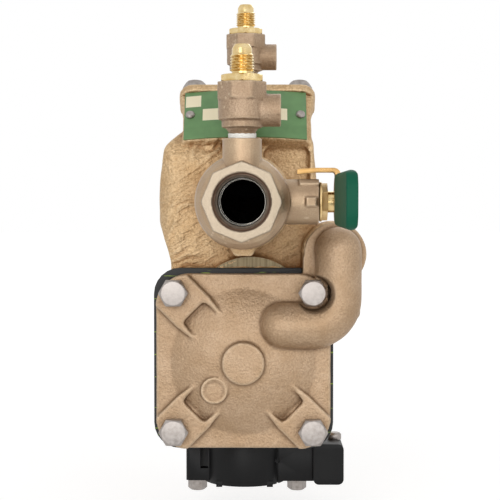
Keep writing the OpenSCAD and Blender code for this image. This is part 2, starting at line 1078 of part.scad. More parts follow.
module flood_sensor_bolts() {
    color(zinc)
        for (x = sensor_bolts)
            translate([x, drain_y, ear_face])
                rotate([180, 0, 0]) {
                    rod_z(5.4, 0, 1.2);
                    translate([0, 0, 1])
                        hex_bolt(2.85, drain_face + 8 - ear_face, 5.2, 6);
                }
}

// Plated screw in the top of the terminal block
module flood_sensor_terminal() {
    color(zinc)
        translate([terminal_x, drain_y + 2, terminal_z])
            turned_z([[0, -5.7], [2.4, -5.7], [2.4, 0], [3.6, 0], [3.6, 2.6], [2.6, 3.6], [0, 3.8]]);
}

// Shut-off valves

module valve_walls(tapped) {
    intersection() {
        rotate([-90, 0, 0])
            cylinder(r = octagon_r, h = 14, $fn = 8);
        turned_y([[0, 0], [octagon_r - 0.3, 0], [octagon_r + 0.5, 0.7], [octagon_r + 0.5, 14], [0, 14]]);
    }
    turned_y([
        [0, 11], [15.4, 11], [19.2, 13.4], [21.3, 17], [barrel_r, 21], [barrel_r, 47],
        [21, 51.5], [19.4, barrel_end], [0, barrel_end]
    ]);
    translate([0, ball_y, 0]) {
        rod_x(bonnet_r, 10, bonnet_x);
        translate([29.4, -bonnet_r - 0.9, -stop_block[2] / 2])
            cube(stop_block);
        for (stop = [[26, -4, lug_r], [-114, 0, stop_r]])
            intersection() {
                rotate([stop[0], 0, 0])
                    translate([26.4, stop[1], 0])
                        cube([10, 4, stop[2]]);
                rod_x(stop[2], 20, bonnet_x);
            }
    }
    if (tapped)
        translate([0, cock1_y, 0])
            rod_z(cock_boss_radius, 0, cock1_z);
}

// Cast valve body: octagon mouth, round barrel, stem boss with two stops
module valve_body(number) {
    tapped = number == 0;
    color(valve_bronze)
        at_valve(number)
            difference() {
                valve_walls(tapped);
                rod_y(port_r, -1, port_l);
                rod_y(way_r, port_l - 1, seat_y + 1);
                rod_y(cavity_r, seat_y, barrel_end + 1);
                rod_y(screw_r, 49, barrel_end + 1);
                translate([0, ball_y, 0]) {
                    rod_x(stem_r + play, 10, packing_x + 1);
                    rod_x(7.6, packing_x, bonnet_x + 1);
                }
                if (tapped)
                    cock_hole(0, cock1_z);
            }
}

module inlet_valve_body() {
    valve_body(0);
}

module outlet_valve_body() {
    valve_body(1);
}

// End piece that closes the barrel and screws into the body casting
module tailpiece(number) {
    color(valve_bronze)
        at_valve(number)
            difference() {
                union() {
                    rod_y(screw_r - play, 49, barrel_end + 1);
                    translate([0, barrel_end, 0])
                        rotate([-90, 0, 0])
                            cylinder(r = 20.4, h = tail_end - barrel_end - 0.4, $fn = 8);
                    rod_y(tail_screw_r, tail_end - 2, tail_end + tail_screw_l);
                }
                rod_y(way_r, 48, tail_end + tail_screw_l + 1);
            }
}

module inlet_valve_tailpiece() {
    tailpiece(0);
}

module outlet_valve_tailpiece() {
    tailpiece(1);
}

module valve_ball(number) {
    color(chrome)
        at_valve(number)
            translate([0, ball_y, 0])
                difference() {
                    rotate([0, 90, 0])
                        rotate([90, 0, 0])
                            sphere(r = ball_r, $fn = 72);
                    rod_y(ball_bore_r, -ball_r - 1, ball_r + 1);
                    translate([11.6, -ball_r, -2.1])
                        cube([8, 2 * ball_r, 4.2]);
                }
}

module inlet_ball() {
    valve_ball(0);
}

module outlet_ball() {
    valve_ball(1);
}

// Seat rings in front of and behind both balls
module ball_seats() {
    color(ptfe)
        for (number = [0, 1])
            at_valve(number)
                translate([0, ball_y, 0])
                    for (side = [0, 1])
                        mirror([0, side, 0])
                            difference() {
                                rod_y(cavity_r - play, seat_y - ball_y, seat_y - ball_y + 6);
                                rod_y(way_r, seat_y - ball_y - 1, 0);
                                sphere(r = ball_r + loose, $fn = 72);
                            }
}

// Stem with a tongue in the ball's slot and a narrow end through the lever
module valve_stem(number) {
    color(brass)
        at_valve(number)
            translate([0, ball_y, 0]) {
                translate([11.9, -4.4, -2])
                    cube([5, 8.8, 4]);
                rod_x(stem_r, 16, lever_x);
                rod_x(stem_neck_r, 20, lever_x + lever_t + lever_nut_t + 1.2);
            }
}

module inlet_stem() {
    valve_stem(0);
}

module outlet_stem() {
    valve_stem(1);
}

module stem_packings() {
    color(ptfe)
        for (number = [0, 1])
            at_valve(number)
                translate([0, ball_y, 0])
                    difference() {
                        rod_x(7.55, packing_x, gland_x);
                        rod_x(stem_r + play, packing_x - 1, gland_x + 1);
                    }
}

// Gland nuts: nose in the boss, washer face and hexagon
module packing_nuts() {
    color(brass)
        for (number = [0, 1])
            at_valve(number)
                translate([0, ball_y, 0])
                    difference() {
                        union() {
                            rod_x(7.5, gland_x, nut_x);
                            rod_x(9.3, bonnet_x + 0.3, nut_x);
                            translate([nut_x - 0.2, 0, 0])
                                rotate([0, 90, 0])
                                    cylinder(r = nut_r, h = nut_t + 0.2, $fn = 6);
                        }
                        rod_x(stem_r + play, gland_x - 1, nut_x + nut_t + 1);
                    }
}

// Flat lever with rounded ends, grown on all sides for the hollow of its grip
module lever_blank(grow) {
    tip = ball_y - lever_l - grow;
    low = lever_z - lever_w / 2 - grow;
    high = lever_z + lever_w / 2 + grow;
    slab_x(lever_x - grow, lever_x + lever_t + grow)
        polygon(soft_outline(rectangle(tip, low, ball_y + lever_hub_r, high), [7, 10.5, 10.5, 7]));
}

// Plated lever with a stop tab bent over the stem boss
module valve_lever(number) {
    color(yellow_zinc)
        at_valve(number)
            difference() {
                union() {
                    lever_blank(0);
                    slab_y(ball_y - tab_half, ball_y + tab_half)
                        polygon(soft_outline([
                            [lever_x + lever_t, 6], [lever_x + lever_t, tab_z + tab_t],
                            [tab_x + 9, tab_z + tab_t], [tab_x, tab_z + tab_t - tab_drop + 0.3],
                            [tab_x, tab_z - tab_drop], [tab_x + 9, tab_z], [lever_x, tab_z], [lever_x, 6]
                        ], [0.1, 3.4, 8, 0.8, 0.6, 8, 1.1, 0.1]));
                }
                translate([0, ball_y, 0])
                    rod_x(stem_neck_r + play, lever_x - 1, lever_x + lever_t + 1);
            }
}

module inlet_lever() {
    valve_lever(0);
}

module outlet_lever() {
    valve_lever(1);
}

// Dipped sleeve over the handle end of the lever
module lever_grip(number) {
    tip = ball_y - lever_l - grip_over;
    centre_x = lever_x + lever_t / 2;
    half_t = grip_t / 2;
    half_w = grip_w / 2;
    color(vinyl)
        at_valve(number)
            difference() {
                intersection() {
                    slab_y(tip, grip_end)
                        polygon(soft_outline(rectangle(
                            centre_x - half_t, lever_z - half_w, centre_x + half_t, lever_z + half_w
                        ), 2.2));
                    slab_x(centre_x - grip_t, centre_x + grip_t)
                        polygon(soft_outline(rectangle(
                            tip, lever_z - half_w, grip_end, lever_z + half_w
                        ), [8, 1, 1, 8]));
                }
                lever_blank(0.02);
            }
}

module inlet_lever_grip() {
    lever_grip(0);
}

module outlet_lever_grip() {
    lever_grip(1);
}

module lever_nut(number) {
    color(zinc)
        at_valve(number)
            translate([lever_x + lever_t, ball_y, 0])
                difference() {
                    rotate([0, 90, 0])
                        cylinder(r = lever_nut_r, h = lever_nut_t, $fn = 6);
                    rod_x(stem_neck_r + play, -1, lever_nut_t + 1);
                }
}

module inlet_lever_nut() {
    lever_nut(0);
}

module outlet_lever_nut() {
    lever_nut(1);
}

// Test cocks

// Cast cock: threaded shank, collar, round body, hexagon shoulder and stem boss
module test_cock_body(number) {
    color(valve_bronze)
        at_cock(number)
            difference() {
                union() {
                    turned_z([
                        [0, -cock_shank], [cock_thread_r - 0.6, -cock_shank],
                        [cock_thread_r, -cock_shank + 1],
                        [cock_thread_r, 2.6], [7.4, 4.6], [9.35, 5.2], [9.35, 8.2], [cock_r, 8.8],
                        [cock_r, 17.8], [9.6, 19], [0, 19]
                    ]);
                    intersection() {
                        translate([0, 0, 17])
                            rotate(22.5)
                                cylinder(r = band_r, h = cock_top_z - 17, $fn = 8);
                        turned_z([
                            [0, 17], [cock_r - 0.6, 17], [band_r - 0.2, 18.2],
                            [band_r - 0.2, cock_top_z], [0, cock_top_z]
                        ]);
                    }
                    translate([0, 0, cock_ball_z])
                        rod_x(cock_boss_r, 0, cock_boss_l);
                }
                rod_z(3, -cock_shank - 1, cock_ball_z);
                rod_z(cock_cavity_r, 7, cock_top_z + 1);
                translate([0, 0, cock_ball_z])
                    rod_x(cock_stem_r + play, 3, cock_boss_l + 1);
            }
}

// Brass adapter: plug, hexagon, flare thread and nose
module test_cock_adapter(number) {
    color(brass)
        at_cock(number)
            difference() {
                union() {
                    turned_z([
                        [0, 19], [cock_cavity_r - play, 19], [cock_cavity_r - play, cock_top_z],
                        [6.4, cock_top_z], [6.4, hex_top_z], [4.7, hex_top_z + 0.4], [4.7, hex_top_z + 1.4],
                        [flare_r, hex_top_z + 2], [flare_r, flare_top_z - 4.9], [4.6, flare_top_z - 4.1],
                        [4.6, flare_top_z - 1.9],
                        [3.4, flare_top_z], [0, flare_top_z]
                    ]);
                    intersection() {
                        translate([0, 0, cock_top_z])
                            cylinder(r = 10.9, h = hex_top_z - cock_top_z, $fn = 6);
                        turned_z([
                            [0, cock_top_z], [10.9, cock_top_z], [10.9, hex_top_z - 0.9],
                            [9.6, hex_top_z], [0, hex_top_z]
                        ]);
                    }
                }
                rod_z(cock_bore_r, 18, flare_top_z + 1);
            }
}

// Ball and slotted stem in one piece, closed at rest
module test_cock_stem(number) {
    color(brass)
        at_cock(number)
            translate([0, 0, cock_ball_z])
                difference() {
                    union() {
                        sphere(r = cock_ball_r);
                        rod_x(cock_stem_r, 3, cock_boss_l - 0.8);
                    }
                    rod_y(cock_bore_r, -cock_ball_r - 1, cock_ball_r + 1);
                    translate([cock_boss_l - 2.4, -4, -0.6])
                        cube([3, 8, 1.2]);
                }
}

module test_cock_1_body() {
    test_cock_body(0);
}

module test_cock_2_body() {
    test_cock_body(1);
}

module test_cock_3_body() {
    test_cock_body(2);
}

module test_cock_4_body() {
    test_cock_body(3);
}

module test_cock_1_adapter() {
    test_cock_adapter(0);
}

module test_cock_2_adapter() {
    test_cock_adapter(1);
}

module test_cock_3_adapter() {
    test_cock_adapter(2);
}

module test_cock_4_adapter() {
    test_cock_adapter(3);
}

module test_cock_1_stem() {
    test_cock_stem(0);
}

module test_cock_2_stem() {
    test_cock_stem(1);
}

module test_cock_3_stem() {
    test_cock_stem(2);
}

module test_cock_4_stem() {
    test_cock_stem(3);
}

// Seal tape showing above each boss
module thread_tape() {
    color(ptfe)
        for (number = [0:3])
            at_cock(number)
                difference() {
                    rod_z(6.3, 0, 2.2);
                    rod_z(cock_thread_r + play, -1, 3);
                }
}

main_body();
first_check_cover();
second_check_cover();
check_cover_bolts();
check_cover_orings();
first_check_seat();
second_check_seat();
first_check_spring();
second_check_spring();
first_check_poppet();
second_check_poppet();
first_check_disc();
second_check_disc();
relief_cover();
relief_cover_bolts();
relief_diaphragm();
relief_seat();
relief_spring();
relief_stem();
relief_stem_nut();
relief_pressure_plate();
relief_piston();
relief_disc();
sensing_oring();
nameplate();
nameplate_rivets();
flood_sensor_housing();
flood_sensor_gasket();
flood_sensor_bolts();
flood_sensor_terminal();
inlet_valve_body();
inlet_valve_tailpiece();
inlet_ball();
inlet_stem();
inlet_lever();
inlet_lever_grip();
inlet_lever_nut();
outlet_valve_body();
outlet_valve_tailpiece();
outlet_ball();
outlet_stem();
outlet_lever();
outlet_lever_grip();
outlet_lever_nut();
ball_seats();
stem_packings();
packing_nuts();
test_cock_1_body();
test_cock_2_body();
test_cock_3_body();
test_cock_4_body();
test_cock_1_adapter();
test_cock_2_adapter();
test_cock_3_adapter();
test_cock_4_adapter();
test_cock_1_stem();
test_cock_2_stem();
test_cock_3_stem();
test_cock_4_stem();
thread_tape();
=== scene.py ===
import bpy
import bmesh
import json
import math
import numpy as np
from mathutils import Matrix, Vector


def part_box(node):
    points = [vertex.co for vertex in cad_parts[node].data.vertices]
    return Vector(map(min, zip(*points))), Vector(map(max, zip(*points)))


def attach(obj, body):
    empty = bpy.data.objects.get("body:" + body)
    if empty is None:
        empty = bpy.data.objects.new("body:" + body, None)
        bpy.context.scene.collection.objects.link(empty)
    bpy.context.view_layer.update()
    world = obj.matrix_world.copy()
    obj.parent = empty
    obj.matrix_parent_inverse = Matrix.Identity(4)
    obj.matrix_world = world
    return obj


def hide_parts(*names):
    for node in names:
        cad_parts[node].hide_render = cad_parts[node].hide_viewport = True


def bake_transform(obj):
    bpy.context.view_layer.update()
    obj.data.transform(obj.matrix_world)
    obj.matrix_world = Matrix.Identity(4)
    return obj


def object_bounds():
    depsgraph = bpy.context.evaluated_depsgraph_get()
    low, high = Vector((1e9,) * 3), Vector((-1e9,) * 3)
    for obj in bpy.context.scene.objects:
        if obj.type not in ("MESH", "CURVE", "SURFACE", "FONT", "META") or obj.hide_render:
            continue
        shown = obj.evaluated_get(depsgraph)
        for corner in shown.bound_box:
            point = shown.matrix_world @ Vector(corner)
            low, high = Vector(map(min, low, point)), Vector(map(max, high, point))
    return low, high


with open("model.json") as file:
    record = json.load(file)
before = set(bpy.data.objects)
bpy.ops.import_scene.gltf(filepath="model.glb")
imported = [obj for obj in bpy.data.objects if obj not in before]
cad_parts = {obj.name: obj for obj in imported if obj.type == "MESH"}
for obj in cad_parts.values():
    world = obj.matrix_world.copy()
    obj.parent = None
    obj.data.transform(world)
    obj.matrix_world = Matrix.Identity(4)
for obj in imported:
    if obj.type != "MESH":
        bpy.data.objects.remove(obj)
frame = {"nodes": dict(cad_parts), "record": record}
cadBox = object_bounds()

mm = 0.001
fullTurn = 6.28  # radians, near enough for a random start
solidWeld = 1e-6  # metres between points that are one, in a CAD node
gridWeld = 1e-7  # and in a new piece
waveSpread = (0.7, 1.5)  # sizes of random waves, as shares of the size asked for
waveLevel = 1.5  # holds their sum mostly between -1 and 1
rootBody = "assembly"
record = frame["record"]
mounts = {mount["name"]: np.array(mount["pos_m"]) / mm for mount in record["mounts"]}
jointAxis = {joint["child"]: np.array(joint["axis"]) for joint in record["behaviour"]["joints"]}
lineLength = float(mounts["outlet_port"][1] - mounts["inlet_port"][1])  # mouth to mouth, mm
cockNumbers = (1, 2, 3, 4)


# Small helpers

def linearFromHex(hexCode):
    # sRGB hex to linear RGBA
    part = np.array([int(hexCode[i:i + 2], 16) for i in (1, 3, 5)]) / 255
    line = np.where(part <= 0.04045, part / 12.92, ((part + 0.055) / 1.055) ** 2.4)
    return (*line.tolist(), 1.0)


def feed(tree, sockets, sources):
    # sources by place or by name: another node's socket, a number or a hex colour
    for key, source in sources.items() if isinstance(sources, dict) else enumerate(sources):
        if isinstance(source, bpy.types.NodeSocket):
            tree.links.new(source, sockets[key])
        else:
            sockets[key].default_value = linearFromHex(source) if isinstance(source, str) else source


def addNode(tree, kind, settings=None, sources=(), out=0):
    # one node with its settings and what feeds it; gives back one of its outputs
    node = tree.nodes.new("ShaderNode" + kind)
    for key, value in (settings or {}).items():
        setattr(node, key, value)
    feed(tree, node.inputs, sources)
    return node.outputs[out]


def startMaterial(name):
    # a new material, its tree, the inputs of its shader and Object coordinates
    material = bpy.data.materials.new(name)
    material.use_nodes = True
    tree = material.node_tree
    return material, tree, tree.nodes["Principled BSDF"].inputs, addNode(tree, "TexCoord", out="Object")


def dress(piece, material, body):
    piece.data.materials.clear()
    piece.data.materials.append(material)
    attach(piece, body)


def bodyOfNode(node):
    return next(body for body, nodes in record["behaviour"]["bodies"].items() if node in nodes)


def slotOfNode(node):
    return next(part["material_slot"] for part in record["subparts"] if part["node"] == node)


def materialOfNode(node):
    return nodeMaterial.get(node, slotMaterial[slotOfNode(node)])


def newPiece(name, data):
    piece = bpy.data.objects.new(name, data)
    bpy.context.scene.collection.objects.link(piece)
    return piece


def weld(mesh, distance, outward=False):
    # points nearer than a distance merged, and where asked the faces turned outwards
    work = bmesh.new()
    work.from_mesh(mesh)
    bmesh.ops.remove_doubles(work, verts=work.verts, dist=distance)
    if outward:
        bmesh.ops.recalc_face_normals(work, faces=work.faces)
    work.to_mesh(mesh)
    work.free()


def mergedCopy(node):
    # the node's loose triangles joined to one skin
    mesh = frame["nodes"][node].data.copy()
    weld(mesh, solidWeld)
    return mesh


def applyModifiers(piece):
    bpy.context.view_layer.update()
    graph = bpy.context.evaluated_depsgraph_get()
    mesh = bpy.data.meshes.new_from_object(piece.evaluated_get(graph))
    piece.modifiers.clear()
    piece.data = mesh
    return mesh


def smoothByAngle(mesh, degrees):
    mesh.shade_smooth()
    mesh.set_sharp_from_angle(angle=math.radians(degrees))


def readPoints(mesh):
    flat = np.empty(len(mesh.vertices) * 3)
    mesh.vertices.foreach_get("co", flat)
    return flat.reshape(-1, 3)


def readNormals(mesh):
    flat = np.empty(len(mesh.vertices) * 3)
    mesh.vertex_normals.foreach_get("vector", flat)
    return flat.reshape(-1, 3)


def writePoints(mesh, points):
    mesh.vertices.foreach_set("co", points.ravel())
    mesh.update()


def waves(points, sizeMm, count, seed):
    # sum of plane sine waves of about one size in random directions
    draw = np.random.default_rng(seed)
    way = draw.normal(size=(count, 3))
    way /= np.linalg.norm(way, axis=1)[:, None]
    pitch = 2 * np.pi / (sizeMm * mm * draw.uniform(*waveSpread, count))
    angle = points @ (way * pitch[:, None]).T + draw.uniform(0, fullTurn, count)
    return np.sin(angle).sum(axis=1) / count ** 0.5 / waveLevel


def eased(value, low, high):
    # 0 below low, 1 above high, smooth between
    part = np.clip((value - low) / (high - low), 0, 1)
    return part * part * (3 - 2 * part)


# Materials

colourMix = {"data_type": "RGBA"}  # a Mix node's share, two colours and result: sockets 0, 6, 7 and 2
noiseSpan = (0.3, 0.7)  # where most of a noise's values lie
recessRays = 6  # rays that feel for a recess


def scaleFor(sizeMm):
    # texture scale that gives a pattern of this size
    return 1 / (sizeMm * mm)


def offMiddle(tree, place):
    # distance along the line from its middle
    along = addNode(tree, "SeparateXYZ", None, [place], "Y")
    shifted = addNode(tree, "Math", {"operation": "SUBTRACT"}, [along, lineLength / 2 * mm])
    return addNode(tree, "Math", {"operation": "ABSOLUTE"}, [shifted])


def waterWay(tree, place, boreShade):
    # 1 on the walls that the water runs along: within a radius of the line's axis and in from its mouths
    flat = addNode(tree, "VectorMath", {"operation": "MULTIPLY"}, [place, (1, 0, 1)])
    far = addNode(tree, "VectorMath", {"operation": "LENGTH"}, [flat], "Value")
    wall = boreShade["radiusMm"] * mm
    inside = addNode(tree, "MapRange", None, [far, wall - boreShade["edgeMm"] * mm, wall, 1.0, 0.0])
    end = (lineLength / 2 - boreShade["insetMm"]) * mm
    start = end - boreShade["fadeMm"] * mm
    along = addNode(tree, "MapRange", None, [offMiddle(tree, place), start, end, 1.0, 0.0])
    return addNode(tree, "Math", {"operation": "MULTIPLY"}, [inside, along])


def wrinkled(tree, place, wrinkle, before):
    # folds of the mould's skin: noise drawn out along a slant, its middle value raised to a ridge
    size = (wrinkle["longMm"] * mm, wrinkle["wideMm"] * mm, wrinkle["wideMm"] * mm)
    drawn = addNode(tree, "Mapping", {"vector_type": "TEXTURE"},
                    {"Vector": place, "Rotation": (0, -math.radians(wrinkle["slant"]), 0), "Scale": size})
    fold = addNode(tree, "TexNoise", None,
                   {"Vector": drawn, "Scale": 1.0, "Detail": 3.0, "Distortion": wrinkle["swirl"]})
    shifted = addNode(tree, "Math", {"operation": "SUBTRACT"}, [fold, 0.5])
    ridge = addNode(tree, "Math", {"operation": "ABSOLUTE"}, [shifted])
    return addNode(tree, "Bump", None, {"Height": ridge, "Strength": wrinkle["strength"],
                                        "Distance": wrinkle["wideMm"] * mm, "Normal": before})


def castBronze(name, look):
    # cast bronze: satin tan metal with patches from the mould, sand grain and pits, the grain drawn
    # coarser than the sand so that it shows; recesses and creases are painted a darker brown as painted
    # shade, crests are painted lighter as painted highlight and worn metal, the bore's walls are painted
    # near black as painted shade, and a lathe has faced the port's end
    material, tree, shader, place = startMaterial(name)
    patch = addNode(tree, "TexNoise", None,
                    {"Vector": place, "Scale": scaleFor(look["patchMm"]), "Detail": 4.0})
    grain = addNode(tree, "TexNoise", None,
                    {"Vector": place, "Scale": scaleFor(look["grainMm"]), "Detail": 3.0})
    pits = addNode(tree, "TexVoronoi", None, {"Vector": place, "Scale": scaleFor(look["pitMm"])}, "Distance")
    share = addNode(tree, "MapRange", None, [patch, *noiseSpan, 0.0, 1.0])
    tone = addNode(tree, "Mix", colourMix, {0: share, 6: look["dark"], 7: look["light"]}, 2)
    share = addNode(tree, "MapRange", None, [grain, *look["speckSpan"], look["speck"], 0.0])
    tone = addNode(tree, "Mix", colourMix, {0: share, 6: tone, 7: look["sand"]}, 2)
    # painted shade: where ambient occlusion finds a recess, the colour is pulled towards a dark brown
    openness = addNode(tree, "AmbientOcclusion", {"samples": recessRays},
                       {"Distance": look["recessShadeMm"] * mm}, "AO")
    share = addNode(tree, "MapRange", None, [openness, *look["recessShadeSpan"], look["recessShade"], 0.0])
    tone = addNode(tree, "Mix", colourMix, {0: share, 6: tone, 7: look["shadeColour"]}, 2)
    # crests are painted lighter, as painted highlight and worn metal; creases get painted shade
    bend = addNode(tree, "NewGeometry", out="Pointiness")
    share = addNode(tree, "MapRange", None, [bend, *look["creaseSpan"], look["crease"], 0.0])
    tone = addNode(tree, "Mix", colourMix, {0: share, 6: tone, 7: look["shadeColour"]}, 2)
    share = addNode(tree, "MapRange", None, [bend, *look["crestSpan"], 0.0, look["crest"]])
    tone = addNode(tree, "Mix", colourMix, {0: share, 6: tone, 7: look["bareAndHighlight"]}, 2)
    if look.get("faced"):
        start = (lineLength / 2 - look["faced"]["depthMm"]) * mm
        end = start + look["faced"]["edgeMm"] * mm
        share = addNode(tree, "MapRange", None, [offMiddle(tree, place), start, end, 0.0, 1.0])
        tone = addNode(tree, "Mix", colourMix, {0: share, 6: tone, 7: look["faced"]["colour"]}, 2)
    boreShade = look["boreShade"]
    boreShadeMask = waterWay(tree, place, boreShade)
    # painted shade: the bore's walls are pulled to near black for the shade inside the line
    tone = addNode(tree, "Mix", colourMix, {0: boreShadeMask, 6: tone, 7: boreShade["colour"]}, 2)
    normal = addNode(tree, "Bump", None, {"Height": grain, "Strength": look["grainStrength"],
                                          "Distance": look["grainMm"] * look["grainDeep"] * mm})
    normal = addNode(tree, "Bump", None, {"Height": pits, "Strength": look["pitStrength"], "Normal": normal,
                                          "Distance": look["pitMm"] * look["pitDeep"] * mm})
    if look.get("wrinkle"):
        normal = wrinkled(tree, place, look["wrinkle"], normal)
    rough = addNode(tree, "MapRange", None, [grain, *noiseSpan, *look["rough"]])
    metal = addNode(tree, "MapRange", None, [boreShadeMask, 0.0, 1.0, look["metal"], boreShade["metal"]])
    feed(tree, shader, {"Base Color": tone, "Normal": normal, "Roughness": rough, "Metallic": metal})
    return material


def plainMetal(name, look):
    # turned, drawn or plated metal: even colour with a faint cloudiness that breaks the highlights;
    # grooves get painted shade, and a ball's bore is painted dark and dull as painted shade
    material, tree, shader, place = startMaterial(name)
    cloud = addNode(tree, "TexNoise", None,
                    {"Vector": place, "Scale": scaleFor(look["cloudMm"]), "Detail": 5.0})
    share = addNode(tree, "MapRange", None, [cloud, *noiseSpan, 0.0, 1.0])
    tone = addNode(tree, "Mix", colourMix, {0: share, 6: look["dark"], 7: look["light"]}, 2)
    metal = look.get("metal", 1.0)
    if "groove" in look:
        groove = look["groove"]
        # painted shade: grooves are darkened where ambient occlusion finds them closed in
        openness = addNode(tree, "AmbientOcclusion", {"samples": recessRays},
                           {"Distance": groove["reachMm"] * mm}, "AO")
        share = addNode(tree, "MapRange", None, [openness, *groove["span"], groove["film"], 0.0])
        tone = addNode(tree, "Mix", colourMix, {0: share, 6: tone, 7: groove["colour"]}, 2)
    if "boreShade" in look:
        boreShade = look["boreShade"]
        boreShadeMask = waterWay(tree, place, boreShade)
        # painted shade: the ball's bore is pulled to near black for the shade inside it
        tone = addNode(tree, "Mix", colourMix, {0: boreShadeMask, 6: tone, 7: boreShade["colour"]}, 2)
        metal = addNode(tree, "MapRange", None, [boreShadeMask, 0.0, 1.0, metal, boreShade["metal"]])
    rough = addNode(tree, "MapRange", None, [cloud, *noiseSpan, *look["rough"]])
    feed(tree, shader, {"Base Color": tone, "Metallic": metal, "Roughness": rough})
    return material


def milledFace(name, look):
    # face cut by a mill: lines, drawn coarser than the cutter's so that they show,
    # that draw the highlight out across them
    material, tree, shader, place = startMaterial(name)
    size = (look["lineMm"] * mm, look["lineMm"] * mm, look["runMm"] * mm)
    drawn = addNode(tree, "Mapping", {"vector_type": "TEXTURE"}, {"Vector": place, "Scale": size})
    line = addNode(tree, "TexNoise", None, {"Vector": drawn, "Scale": 1.0, "Detail": 2.0})
    share = addNode(tree, "MapRange", None, [line, *look["lineSpan"], 0.0, 1.0])
    tone = addNode(tree, "Mix", colourMix, {0: share, 6: look["dark"], 7: look["light"]}, 2)
    normal = addNode(tree, "Bump", None, {"Height": line, "Strength": look["lineStrength"],
                                          "Distance": look["lineMm"] * look["lineDeep"] * mm})
    feed(tree, shader, {"Base Color": tone, "Normal": normal, "Metallic": 1.0, "Roughness": look["rough"]})
    return material


def mouldedSkin(name, look):
    # rubber, vinyl or plastic: one colour, soft sheen, fine moulded grain;
    # sheet rubber on cloth also shows lime threads here and there along its cut edge
    material, tree, shader, place = startMaterial(name)
    grain = addNode(tree, "TexNoise", None,
                    {"Vector": place, "Scale": scaleFor(look["grainMm"]), "Detail": 2.0})
    normal = addNode(tree, "Bump", None, {"Height": grain, "Strength": look["grainStrength"],
                                          "Distance": look["grainMm"] * skinGrainDeep * mm})
    colour = look["colour"]
    if "thread" in look:
        thread = look["thread"]
        size = (thread["longMm"] * mm, thread["thinMm"] * mm, thread["thinMm"] * mm)
        drawn = addNode(tree, "Mapping", {"vector_type": "TEXTURE"}, {"Vector": place, "Scale": size})
        fibre = addNode(tree, "TexNoise", None, {"Vector": drawn, "Scale": 1.0, "Detail": 1.0})
        share = addNode(tree, "MapRange", None, [fibre, *thread["span"], 0.0, 1.0])
        colour = addNode(tree, "Mix", colourMix, {0: share, 6: colour, 7: thread["colour"]}, 2)
    feed(tree, shader, {"Base Color": colour, "Normal": normal, "Roughness": look["rough"],
                        "IOR": look["ior"], "Specular IOR Level": look.get("specular", 0.5)})
    return material


def printedPlate(name, look):
    # green enamel on aluminium with blank cream panels, set out across the plate and up its slope
    material, tree, shader, place = startMaterial(name)
    across = addNode(tree, "SeparateXYZ", None, [place], "X")
    lean = math.radians(look["lean"])
    slope = (0, math.sin(lean), math.cos(lean))
    risen = addNode(tree, "VectorMath", {"operation": "DOT_PRODUCT"}, [place, slope], "Value")
    base = look["footMm"] * math.sin(lean)
    rub = addNode(tree, "TexNoise", None,
                  {"Vector": place, "Scale": scaleFor(look["rubMm"]), "Detail": 4.0})
    share = addNode(tree, "MapRange", None, [rub, *noiseSpan, 0.0, 1.0])
    tone = addNode(tree, "Mix", colourMix, {0: share, 6: look["dark"], 7: look["light"]}, 2)
    for left, right, low, high in look["panels"]:
        wide = addNode(tree, "Math", {"operation": "COMPARE"},
                       [across, (left + right) / 2 * mm, (right - left) / 2 * mm])
        tall = addNode(tree, "Math", {"operation": "COMPARE"},
                       [risen, ((low + high) / 2 + base) * mm, (high - low) / 2 * mm])
        panel = addNode(tree, "Math", {"operation": "MULTIPLY"}, [wide, tall])
        tone = addNode(tree, "Mix", colourMix, {0: panel, 6: tone, 7: look["cream"]}, 2)
    feed(tree, shader, {"Base Color": tone, "Roughness": look["rough"]})
    return material


# Bump depths marked Deep are shares of the pattern's own size
skinGrainDeep = 0.3
# painted shade: the walls of the bore, inside the line, near black and less metallic
boreShadeBronze = {"radiusMm": 14.5, "edgeMm": 0.4, "insetMm": 11.6, "fadeMm": 2, "metal": 0.2,
             "colour": "#17100b"}
boreShadeChrome = {**boreShadeBronze, "radiusMm": 11.1, "insetMm": 13.5, "metal": 0.3, "colour": "#0b0b0c"}
bronze = {"light": "#dbbf97", "dark": "#cbab80", "patchMm": 12, "metal": 0.55, "rough": (0.42, 0.6),
          "sand": "#967246", "speck": 0.55, "speckSpan": (0.36, 0.66),
          "grainMm": 1.1, "grainStrength": 0.7, "grainDeep": 0.5,
          "pitMm": 1.8, "pitStrength": 0.35, "pitDeep": 0.3,
          # painted shade: the dark brown below is laid into recesses and creases, by the amounts that follow
          "shadeColour": "#7a4a12", "recessShade": 0.8, "recessShadeMm": 12, "recessShadeSpan": (0.25, 0.85),
          # crease: painted shade in the creases; crest: painted highlight, with worn metal, on the crests
          "crease": 0.7, "creaseSpan": (0.45, 0.495),
          "bareAndHighlight": "#e6d0ab", "crest": 0.5, "crestSpan": (0.51, 0.56), "boreShade": boreShadeBronze,
          "wrinkle": {"slant": 28, "longMm": 14, "wideMm": 3.4, "swirl": 0.9, "strength": 0.42}}
coverBronze = {**bronze, "light": "#bea488", "dark": "#ab8f70", "sand": "#8c7053", "shadeColour": "#5f442b",
               "bareAndHighlight": "#d6c2a6", "grainMm": 0.9, "pitStrength": 0.25, "recessShade": 0.6, "recessShadeMm": 5,
               "metal": 0.6, "wrinkle": None}
valveBronze = {**coverBronze, "light": "#bda689", "dark": "#a98f74", "sand": "#957a5e", "speck": 0.45,
               "grainMm": 0.6, "grainStrength": 0.45, "pitStrength": 0.12, "recessShade": 0.5, "metal": 0.7,
               "rough": (0.34, 0.5), "faced": {"depthMm": 0.7, "edgeMm": 0.3, "colour": "#a39480"}}
cockBronze = {**coverBronze, "light": "#b9a188", "dark": "#a1886d", "sand": "#7f654c", "speck": 0.6,
              "grainMm": 0.6, "grainStrength": 0.8}
